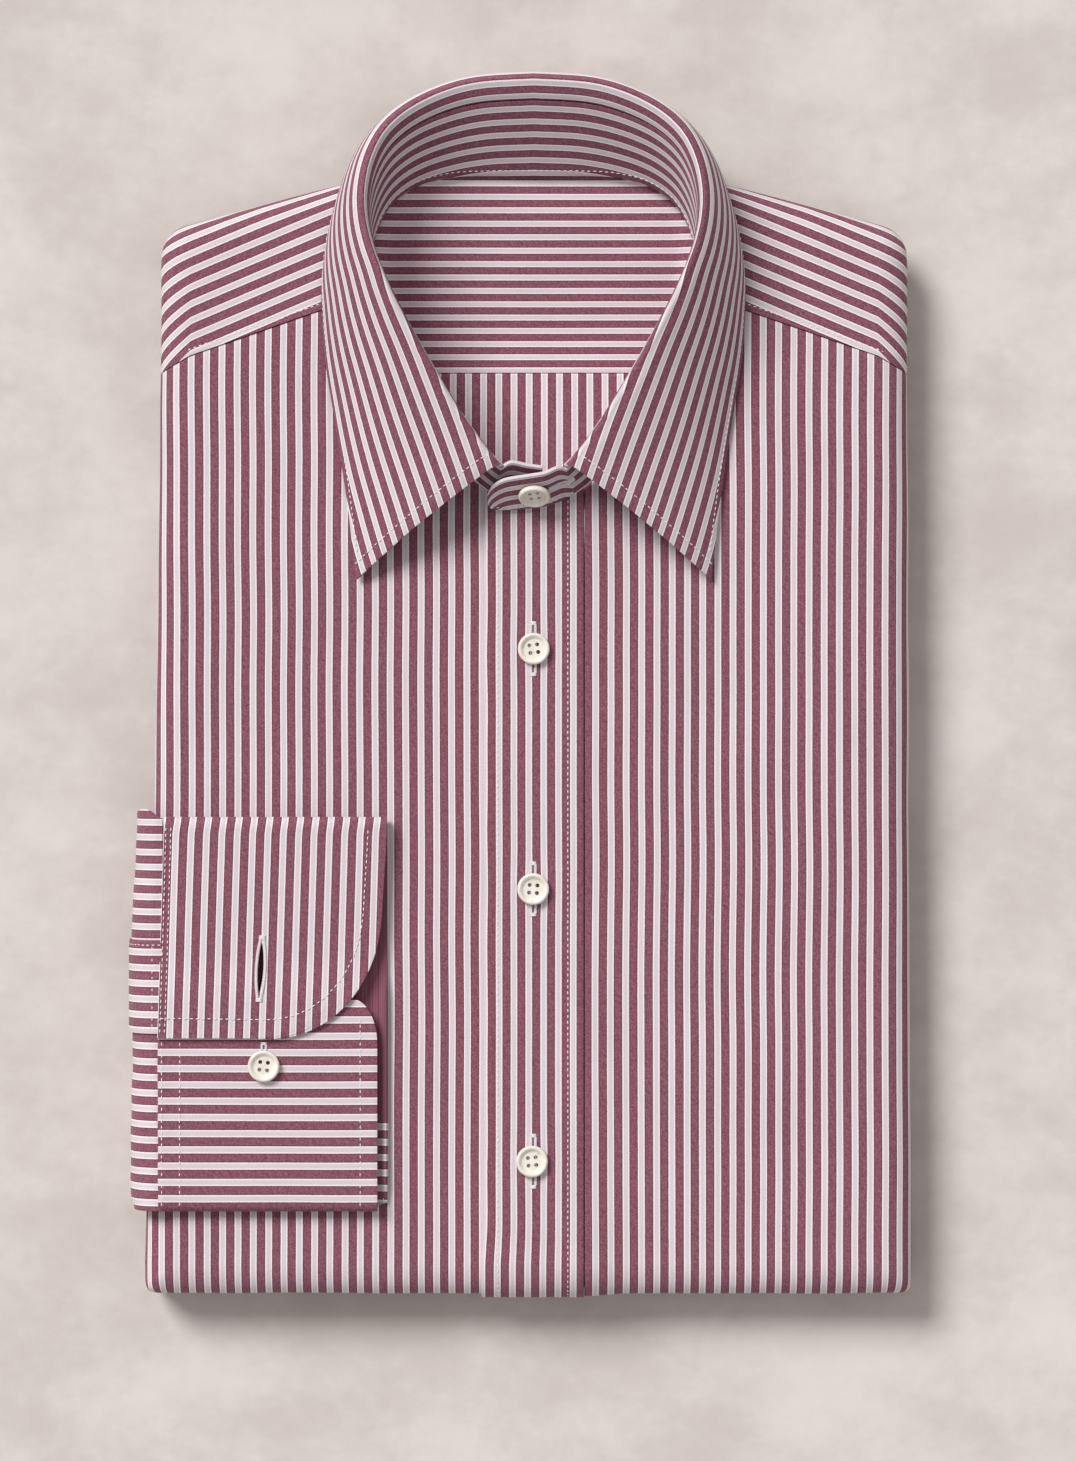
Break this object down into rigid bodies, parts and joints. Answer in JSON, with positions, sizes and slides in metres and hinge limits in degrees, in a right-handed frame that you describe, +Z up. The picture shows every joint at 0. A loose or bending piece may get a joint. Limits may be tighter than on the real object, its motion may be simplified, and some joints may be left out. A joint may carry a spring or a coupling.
{
  "type": "folded dress shirt",
  "caption": "Striped cotton dress shirt folded flat, front up, with a standing collar, button placket and one unfastened cuff laid over the front.",
  "frame": {"origin": "centre of the bounding box's underside, on the surface that the folded shirt lies on", "axes": "+X to the right over the front as seen from above, +Y towards the collar, +Z up"},
  "size_m": [0.2792, 0.433, 0.058],
  "materials": {
    "striped_cotton": "matte",
    "button": "gloss",
    "thread": "matte"
  },
  "bodies": {
    "root": {"folded_layers": "striped_cotton", "front_left": "striped_cotton", "front_right": "striped_cotton", "placket": "striped_cotton", "yoke": "striped_cotton", "yoke_inside": "striped_cotton", "back_inside": "striped_cotton", "collar_stand": "striped_cotton", "collar_leaf": "striped_cotton", "cuff": "striped_cotton", "sleeve": "striped_cotton", "sleeve_placket": "striped_cotton", "button_collar": "button", "button_top": "button", "button_middle": "button", "button_bottom": "button", "button_cuff": "button"}
  },
  "joints": []
}
